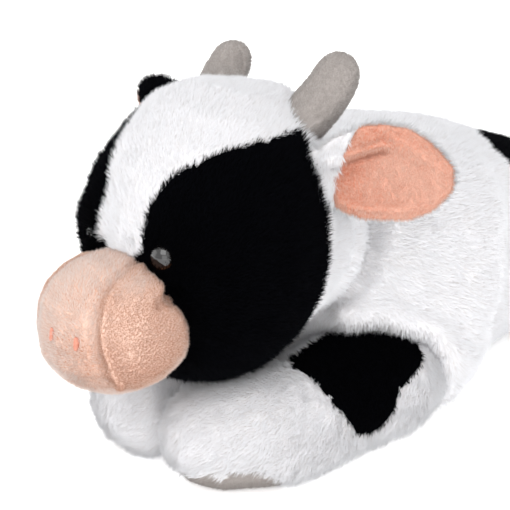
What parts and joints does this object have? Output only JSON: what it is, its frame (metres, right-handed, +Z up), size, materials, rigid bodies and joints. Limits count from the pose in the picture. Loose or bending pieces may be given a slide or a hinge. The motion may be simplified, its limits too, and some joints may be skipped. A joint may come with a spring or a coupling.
{
  "type": "plush cow",
  "caption": "Stuffed cow in deep white and black pile, lying on its belly with its legs out, with a peach muzzle, grey horns and lined ears.",
  "frame": {"origin": "on the floor under the middle of the belly", "axes": "+Z up, the cow faces -Y and its left side is +X"},
  "size_m": [0.226, 0.4571, 0.2109],
  "materials": {
    "white_pile": "deep white pile",
    "black_pile": "deep black pile",
    "muzzle_pile": "short peach pile",
    "lining_pile": "short apricot pile",
    "grey_pile": "short grey nap",
    "nostril_thread": "satin embroidery",
    "filling": "loose fibre in one mass",
    "eye_gloss": "polished dark brown",
    "washer": "moulded"
  },
  "bodies": {
    "torso": {"body_cover": "white_pile", "back_patch": "black_pile", "body_filling": "filling"},
    "neck": {"neck_filling": "filling"},
    "head": {"crown_panel": "white_pile", "face_patch_left": "black_pile", "face_patch_right": "black_pile", "muzzle_cover": "muzzle_pile", "head_filling": "filling", "eye_left": "eye_gloss", "eye_right": "eye_gloss", "eye_washer_left": "washer", "eye_washer_right": "washer", "nostril_left": "nostril_thread", "nostril_right": "nostril_thread", "horn_left": "grey_pile", "horn_right": "grey_pile"},
    "ear_left": {"ear_outer_left": "white_pile", "ear_lining_left": "lining_pile"},
    "ear_right": {"ear_outer_right": "black_pile", "ear_lining_right": "lining_pile"},
    "foreleg_left": {"foreleg_left_cover": "white_pile", "foreleg_left_patch": "black_pile", "foreleg_left_sole": "grey_pile", "foreleg_left_filling": "filling"},
    "foreleg_right": {"foreleg_right_cover": "white_pile", "foreleg_right_sole": "grey_pile", "foreleg_right_filling": "filling"},
    "hindleg_left": {"hindleg_left_cover": "white_pile", "hindleg_left_sole": "grey_pile", "hindleg_left_filling": "filling"},
    "hindleg_right": {"hindleg_right_cover": "white_pile", "hindleg_right_sole": "grey_pile", "hindleg_right_filling": "filling"},
    "tail": {"tail_cord": "white_pile", "tail_tuft": "black_pile"}
  },
  "joints": [
    {"name": "neck_turn", "type": "hinge", "parent": "torso", "child": "neck", "pos_m": [0.0065, -0.097, 0.111], "axis": [0, 0, 1], "range_deg": [-6, 6], "stiffness_Nm_per_rad": 3},
    {"name": "head_nod", "type": "hinge", "parent": "neck", "child": "head", "pos_m": [0.0065, -0.097, 0.111], "axis": [0.9962, -0.0872, 0], "range_deg": [-6, 3], "stiffness_Nm_per_rad": 5},
    {"name": "ear_flap_left", "type": "hinge", "parent": "head", "child": "ear_left", "pos_m": [0.05008, -0.12432, 0.15849], "axis": [-0.1536, 0.1898, 0.9697], "range_deg": [-12, 12], "stiffness_Nm_per_rad": 0.05},
    {"name": "ear_flap_right", "type": "hinge", "parent": "head", "child": "ear_right", "pos_m": [-0.04117, -0.11634, 0.15849], "axis": [0.6275, 0.6217, -0.4687], "range_deg": [-12, 12], "stiffness_Nm_per_rad": 0.05},
    {"name": "foreleg_swing_left", "type": "hinge", "parent": "torso", "child": "foreleg_left", "pos_m": [0.041, -0.062, 0.0315], "axis": [0, 0, 1], "range_deg": [-1, 12], "stiffness_Nm_per_rad": 2},
    {"name": "foreleg_swing_right", "type": "hinge", "parent": "torso", "child": "foreleg_right", "pos_m": [-0.041, -0.062, 0.0315], "axis": [0, 0, -1], "range_deg": [-1, 12], "stiffness_Nm_per_rad": 2},
    {"name": "hindleg_swing_left", "type": "hinge", "parent": "torso", "child": "hindleg_left", "pos_m": [0.041, 0.106, 0.0295], "axis": [0, 0, -1], "range_deg": [-6, 6], "stiffness_Nm_per_rad": 2},
    {"name": "hindleg_swing_right", "type": "hinge", "parent": "torso", "child": "hindleg_right", "pos_m": [-0.041, 0.106, 0.0295], "axis": [0, 0, 1], "range_deg": [-6, 6], "stiffness_Nm_per_rad": 2},
    {"name": "tail_swing", "type": "hinge", "parent": "torso", "child": "tail", "pos_m": [0, 0.166, 0.052], "axis": [0, 1, 0], "range_deg": [-20, 20]}
  ]
}
